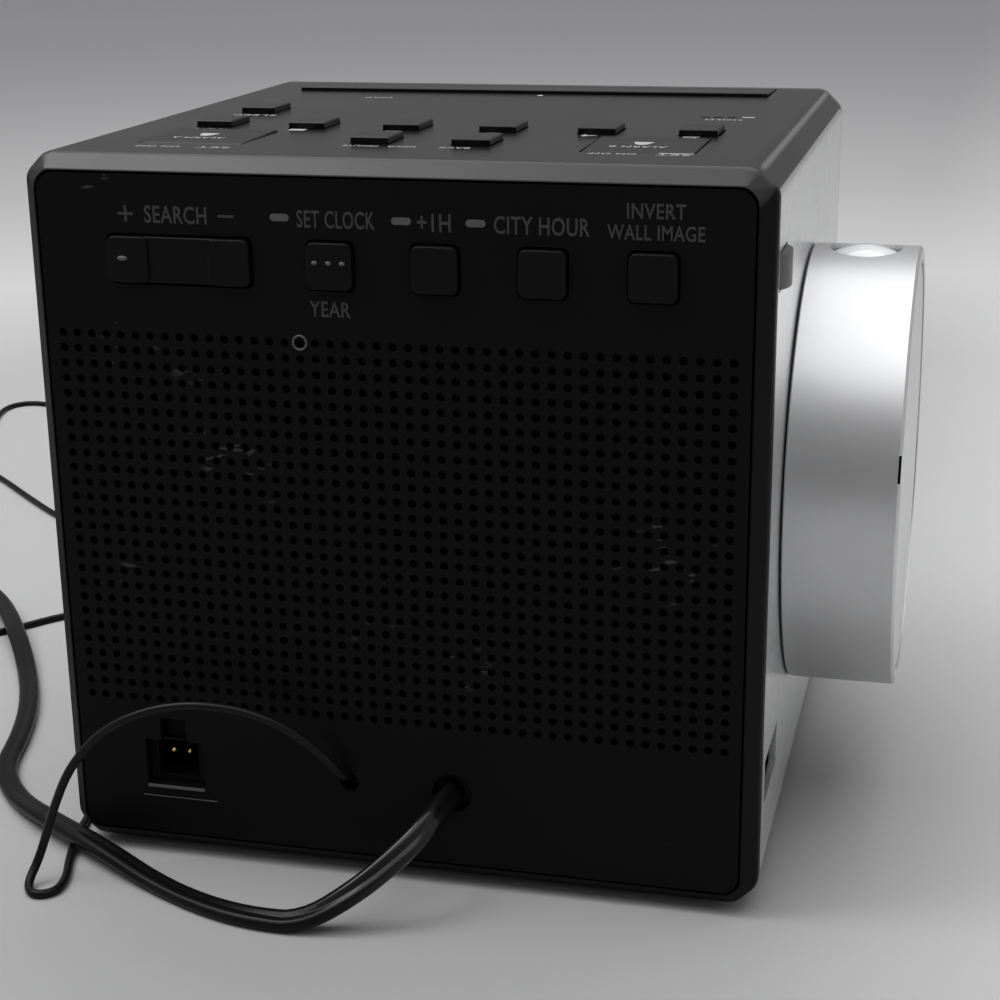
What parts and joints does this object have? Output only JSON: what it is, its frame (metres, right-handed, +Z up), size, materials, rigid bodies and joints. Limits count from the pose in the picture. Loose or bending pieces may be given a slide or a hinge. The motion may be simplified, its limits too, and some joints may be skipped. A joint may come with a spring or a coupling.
{
  "type": "projection alarm clock",
  "caption": "Cube-shaped clock radio with a front display, snooze bar, rear speaker grille and a turning projector drum on its side, with a coiled power lead and antenna wire.",
  "frame": {"origin": "centre of the underside of the clock's box, at the surface it stands on, with the cords left out", "axes": "+Z up, -Y out of the display, +Y out of the rear cover, -X out of the projector drum"},
  "size_m": [0.2563, 0.254, 0.1041],
  "materials": {
    "case": "black, glossy top and sides",
    "rear_case": "black, fine satin grain",
    "silver_plate": "satin silver",
    "black_backing": "matt black",
    "bezel": "glossy black",
    "window": "smoked clear window",
    "lcd": "dark display glass",
    "diffuser": "white light box",
    "circuit_board": "green solder mask",
    "switch_body": "dark switch housings",
    "rubber_feet": "soft black",
    "screws": "zinc plated",
    "keys": "satin black keys",
    "wheel": "ribbed black",
    "pot_metal": "stamped steel",
    "speaker_metal": "black stamped basket and magnet",
    "speaker_paper": "black cone and surround",
    "transformer_metal": "laminated core and taped winding",
    "socket_metal": "plated socket shell",
    "gold_pins": "gold plated pins",
    "cell_metal": "polished cell can",
    "drum": "satin silver",
    "drum_inner": "matt black",
    "bush_plastic": "natural acetal",
    "clip_steel": "spring steel",
    "optics": "clear coated lens",
    "lamp": "clear lamp on a small board",
    "cord": "glossy black cord jacket",
    "plug_blades": "black moulded plug with plated blades"
  },
  "bodies": {
    "case": {"case_shell": "case", "side_plate": "silver_plate", "rear_cover": "rear_case", "grille_backing": "black_backing", "front_bezel": "bezel", "display_window": "window", "display_panel": "lcd", "backlight": "diffuser", "main_board": "circuit_board", "feet": "rubber_feet", "case_screws": "screws", "top_key_board": "circuit_board", "rear_key_board": "circuit_board", "tact_switches": "switch_body", "volume_pot": "pot_metal", "speaker_frame": "speaker_metal", "speaker_cone": "speaker_paper", "transformer": "transformer_metal", "power_board": "circuit_board", "usb_socket": "socket_metal", "am_socket": "black_backing", "am_pins": "gold_pins", "cord_clamp": "black_backing", "projector_bush": "bush_plastic", "power_lead": "cord", "power_lead_tail": "cord", "power_lead_coil": "cord", "antenna_wire": "cord", "antenna_wire_tail": "cord", "antenna_coil": "cord", "power_plug": "plug_blades"},
    "projector": {"drum_shell": "drum", "drum_hub": "drum_inner", "retaining_clip": "clip_steel", "projector_housing": "drum_inner", "mini_lcd": "lcd", "projection_lamp": "lamp"},
    "lens_barrel": {"lens_barrel": "drum_inner", "lens": "optics"},
    "focus_dial": {"focus_dial": "drum"},
    "volume_wheel": {"volume_wheel": "wheel"},
    "battery_drawer": {"battery_drawer": "black_backing", "coin_cell": "cell_metal"},
    "snooze_bar": {"snooze_bar": "keys"},
    "tuning_rocker": {"tuning_rocker": "keys"},
    "radio_key": {"radio_key": "keys"},
    "preset_key_1": {"preset_key_1": "keys"},
    "preset_key_2": {"preset_key_2": "keys"},
    "preset_key_3": {"preset_key_3": "keys"},
    "preset_key_4": {"preset_key_4": "keys"},
    "preset_key_5": {"preset_key_5": "keys"},
    "sleep_key": {"sleep_key": "keys"},
    "time_up_key": {"time_up_key": "keys"},
    "time_down_key": {"time_down_key": "keys"},
    "alarm_key_a": {"alarm_key_a": "keys"},
    "alarm_key_b": {"alarm_key_b": "keys"},
    "clock_set_key": {"clock_set_key": "keys"},
    "summer_time_key": {"summer_time_key": "keys"},
    "time_zone_key": {"time_zone_key": "keys"},
    "image_turn_key": {"image_turn_key": "keys"}
  },
  "joints": [
    {"name": "projector_turn", "type": "hinge", "parent": "case", "child": "projector", "pos_m": [-0.0434, 0, 0.0522], "axis": [1, 0, 0], "range_deg": [-90, 90]},
    {"name": "focus_turn", "type": "hinge", "parent": "projector", "child": "focus_dial", "pos_m": [-0.0579, 0, 0.0522], "axis": [1, 0, 0], "range_deg": [-30, 30]},
    {"name": "lens_focus", "type": "slide", "parent": "projector", "child": "lens_barrel", "axis": [0, 0, 1], "range_m": [-0.00082, 0.00082]},
    {"name": "volume_turn", "type": "hinge", "parent": "case", "child": "volume_wheel", "pos_m": [-0.0377, 0.0396, 0.0895], "axis": [0, 0, 1], "range_deg": [-140, 140]},
    {"name": "battery_slide", "type": "slide", "parent": "case", "child": "battery_drawer", "axis": [1, 0, 0], "range_m": [0, 0.022]},
    {"name": "snooze_press", "type": "slide", "parent": "case", "child": "snooze_bar", "axis": [0, 0, -1], "range_m": [0, 0.0006], "stiffness_N_per_m": 800, "springref_m": -0.0002},
    {"name": "tuning_rock", "type": "hinge", "parent": "case", "child": "tuning_rocker", "pos_m": [0.0363, 0.0449, 0.0893], "axis": [0, 0, 1], "range_deg": [-2.5, 2.5], "stiffness_Nm_per_rad": 0.2},
    {"name": "radio_press", "type": "slide", "parent": "case", "child": "radio_key", "axis": [0, 0, -1], "range_m": [0, 0.0006], "stiffness_N_per_m": 800, "springref_m": -0.0002},
    {"name": "preset_1_press", "type": "slide", "parent": "case", "child": "preset_key_1", "axis": [0, 0, -1], "range_m": [0, 0.0006], "stiffness_N_per_m": 800, "springref_m": -0.0002},
    {"name": "preset_2_press", "type": "slide", "parent": "case", "child": "preset_key_2", "axis": [0, 0, -1], "range_m": [0, 0.0006], "stiffness_N_per_m": 800, "springref_m": -0.0002},
    {"name": "preset_3_press", "type": "slide", "parent": "case", "child": "preset_key_3", "axis": [0, 0, -1], "range_m": [0, 0.0006], "stiffness_N_per_m": 800, "springref_m": -0.0002},
    {"name": "preset_4_press", "type": "slide", "parent": "case", "child": "preset_key_4", "axis": [0, 0, -1], "range_m": [0, 0.0006], "stiffness_N_per_m": 800, "springref_m": -0.0002},
    {"name": "preset_5_press", "type": "slide", "parent": "case", "child": "preset_key_5", "axis": [0, 0, -1], "range_m": [0, 0.0006], "stiffness_N_per_m": 800, "springref_m": -0.0002},
    {"name": "sleep_press", "type": "slide", "parent": "case", "child": "sleep_key", "axis": [0, 0, -1], "range_m": [0, 0.0006], "stiffness_N_per_m": 800, "springref_m": -0.0002},
    {"name": "time_up_press", "type": "slide", "parent": "case", "child": "time_up_key", "axis": [0, 0, -1], "range_m": [0, 0.0006], "stiffness_N_per_m": 800, "springref_m": -0.0002},
    {"name": "time_down_press", "type": "slide", "parent": "case", "child": "time_down_key", "axis": [0, 0, -1], "range_m": [0, 0.0006], "stiffness_N_per_m": 800, "springref_m": -0.0002},
    {"name": "alarm_key_a_press", "type": "slide", "parent": "case", "child": "alarm_key_a", "axis": [0, 0, -1], "range_m": [0, 0.0005], "stiffness_N_per_m": 800, "springref_m": -0.0002},
    {"name": "alarm_key_b_press", "type": "slide", "parent": "case", "child": "alarm_key_b", "axis": [0, 0, -1], "range_m": [0, 0.0005], "stiffness_N_per_m": 800, "springref_m": -0.0002},
    {"name": "clock_set_press", "type": "slide", "parent": "case", "child": "clock_set_key", "axis": [0, -1, 0], "range_m": [0, 0.0006], "stiffness_N_per_m": 800, "springref_m": -0.0002},
    {"name": "summer_time_press", "type": "slide", "parent": "case", "child": "summer_time_key", "axis": [0, -1, 0], "range_m": [0, 0.0006], "stiffness_N_per_m": 800, "springref_m": -0.0002},
    {"name": "time_zone_press", "type": "slide", "parent": "case", "child": "time_zone_key", "axis": [0, -1, 0], "range_m": [0, 0.0006], "stiffness_N_per_m": 800, "springref_m": -0.0002},
    {"name": "image_turn_press", "type": "slide", "parent": "case", "child": "image_turn_key", "axis": [0, -1, 0], "range_m": [0, 0.0006], "stiffness_N_per_m": 800, "springref_m": -0.0002}
  ],
  "couplings": [
    {"joint": "lens_focus", "follows": "focus_turn", "m_per_rad": 0.001528}
  ]
}
